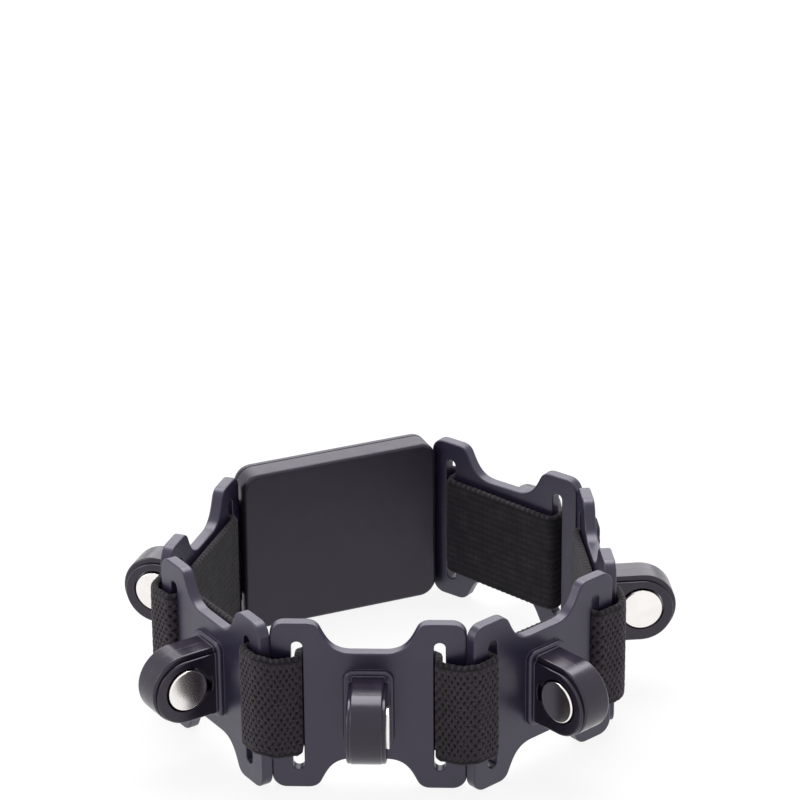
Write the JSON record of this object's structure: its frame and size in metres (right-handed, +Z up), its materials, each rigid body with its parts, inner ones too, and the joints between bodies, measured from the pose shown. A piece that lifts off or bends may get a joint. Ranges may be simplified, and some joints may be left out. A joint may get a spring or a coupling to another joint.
{
  "type": "magnetic wristband",
  "caption": "Elastic wristband of moulded links, each with an upright ear that holds a round magnet for tool bits, closed into a ring by a flat magnet case for screws.",
  "frame": {"origin": "the middle of the bounding box in plan, on the surface that the ring stands on", "axes": "+Z up along the axis of the ring, -Y towards the front link, the flat case at the back"},
  "size_m": [0.0796, 0.0736, 0.0254],
  "materials": {
    "link_plastic": "satin moulded slate grey",
    "case_plastic": "fine satin dark grey",
    "elastic": "woven elastic, near black",
    "nickel": "bright nickel plating on a sintered magnet",
    "steel": "plain sheet steel"
  },
  "bodies": {
    "case": {"case_inner_shell": "case_plastic", "case_outer_cover": "case_plastic", "steel_keeper": "steel", "block_magnet_right": "nickel", "block_magnet_left": "nickel", "anchor_bar_right": "steel", "anchor_bar_left": "steel", "strap_end_right": "elastic", "strap_end_left": "elastic"},
    "gap_1": {"strap_bridge_1": "elastic"},
    "holder_5": {"link_5": "link_plastic", "bit_magnet_5": "nickel", "strap_run_5": "elastic"},
    "gap_2": {"strap_bridge_2": "elastic"},
    "holder_6": {"link_6": "link_plastic", "bit_magnet_6": "nickel", "strap_run_6": "elastic"},
    "gap_3": {"strap_bridge_3": "elastic"},
    "holder_1": {"link_1": "link_plastic", "bit_magnet_1": "nickel", "strap_run_1": "elastic"},
    "gap_4": {"strap_bridge_4": "elastic"},
    "holder_2": {"link_2": "link_plastic", "bit_magnet_2": "nickel", "strap_run_2": "elastic"},
    "gap_5": {"strap_bridge_5": "elastic"},
    "holder_3": {"link_3": "link_plastic", "bit_magnet_3": "nickel", "strap_run_3": "elastic"},
    "gap_6": {"strap_bridge_6": "elastic"},
    "holder_4": {"link_4": "link_plastic", "bit_magnet_4": "nickel", "strap_run_4": "elastic", "strap_bridge_7": "elastic"}
  },
  "joints": [
    {"name": "stretch_1", "type": "slide", "parent": "case", "child": "gap_1", "axis": [-0.6546, -0.7559, 0], "range_m": [0, 0.005], "stiffness_N_per_m": 2000, "deforming": ["strap_bridge_1"]},
    {"name": "bend_1", "type": "hinge", "parent": "gap_1", "child": "holder_5", "pos_m": [-0.02376, 0.0202, 0.0127], "axis": [0, 0, 1], "range_deg": [-15, 15], "deforming": ["strap_bridge_1"]},
    {"name": "stretch_2", "type": "slide", "parent": "holder_5", "child": "gap_2", "axis": [0.1619, -0.9868, 0], "range_m": [0, 0.00501], "deforming": ["strap_bridge_2"]},
    {"name": "bend_2", "type": "hinge", "parent": "gap_2", "child": "holder_6", "pos_m": [-0.03142, -0.00507, 0.0127], "axis": [0, 0, 1], "range_deg": [-8.9, 8.9], "deforming": ["strap_bridge_2"]},
    {"name": "stretch_3", "type": "slide", "parent": "holder_6", "child": "gap_3", "axis": [0.889, -0.4579, 0], "range_m": [0, 0.00255], "deforming": ["strap_bridge_3"]},
    {"name": "bend_3", "type": "hinge", "parent": "gap_3", "child": "holder_1", "pos_m": [-0.01609, -0.02656, 0.0127], "axis": [0, 0, 1], "range_deg": [-10.1, 10.1], "deforming": ["strap_bridge_3"]},
    {"name": "stretch_4", "type": "slide", "parent": "holder_1", "child": "gap_4", "axis": [0.9272, 0.3746, 0], "range_m": [0, 0.00233], "deforming": ["strap_bridge_4"]},
    {"name": "bend_4", "type": "hinge", "parent": "gap_4", "child": "holder_2", "pos_m": [0.01031, -0.02656, 0.0127], "axis": [0, 0, 1], "range_deg": [-13.4, 13.4], "deforming": ["strap_bridge_4"]},
    {"name": "stretch_5", "type": "slide", "parent": "holder_2", "child": "gap_5", "axis": [0.3256, 0.9455, 0], "range_m": [0, 0.00396], "deforming": ["strap_bridge_5"]},
    {"name": "bend_5", "type": "hinge", "parent": "gap_5", "child": "holder_3", "pos_m": [0.02931, -0.00822, 0.0127], "axis": [0, 0, 1], "range_deg": [-3, 3], "deforming": ["strap_bridge_5"]},
    {"name": "stretch_6", "type": "slide", "parent": "holder_3", "child": "gap_6", "axis": [-0.5188, 0.8549, 0], "range_m": [0, 0.00609], "deforming": ["strap_bridge_6"]},
    {"name": "bend_6", "type": "hinge", "parent": "gap_6", "child": "holder_4", "pos_m": [0.02563, 0.01792, 0.0127], "axis": [0, 0, 1], "range_deg": [-12.2, 12.2], "deforming": ["strap_bridge_6", "strap_bridge_7"]}
  ],
  "couplings": [
    {"joint": "stretch_2", "follows": "stretch_1", "ratio": 1},
    {"joint": "bend_2", "follows": "bend_1", "ratio": -0.589},
    {"joint": "stretch_3", "follows": "stretch_1", "ratio": 0.509},
    {"joint": "bend_3", "follows": "bend_1", "ratio": -0.673},
    {"joint": "stretch_4", "follows": "stretch_1", "ratio": 0.465},
    {"joint": "bend_4", "follows": "bend_1", "ratio": 0.892},
    {"joint": "stretch_5", "follows": "stretch_1", "ratio": 0.791},
    {"joint": "bend_5", "follows": "bend_1", "ratio": 0.199},
    {"joint": "stretch_6", "follows": "stretch_1", "ratio": 1.217},
    {"joint": "bend_6", "follows": "bend_1", "ratio": -0.811}
  ]
}
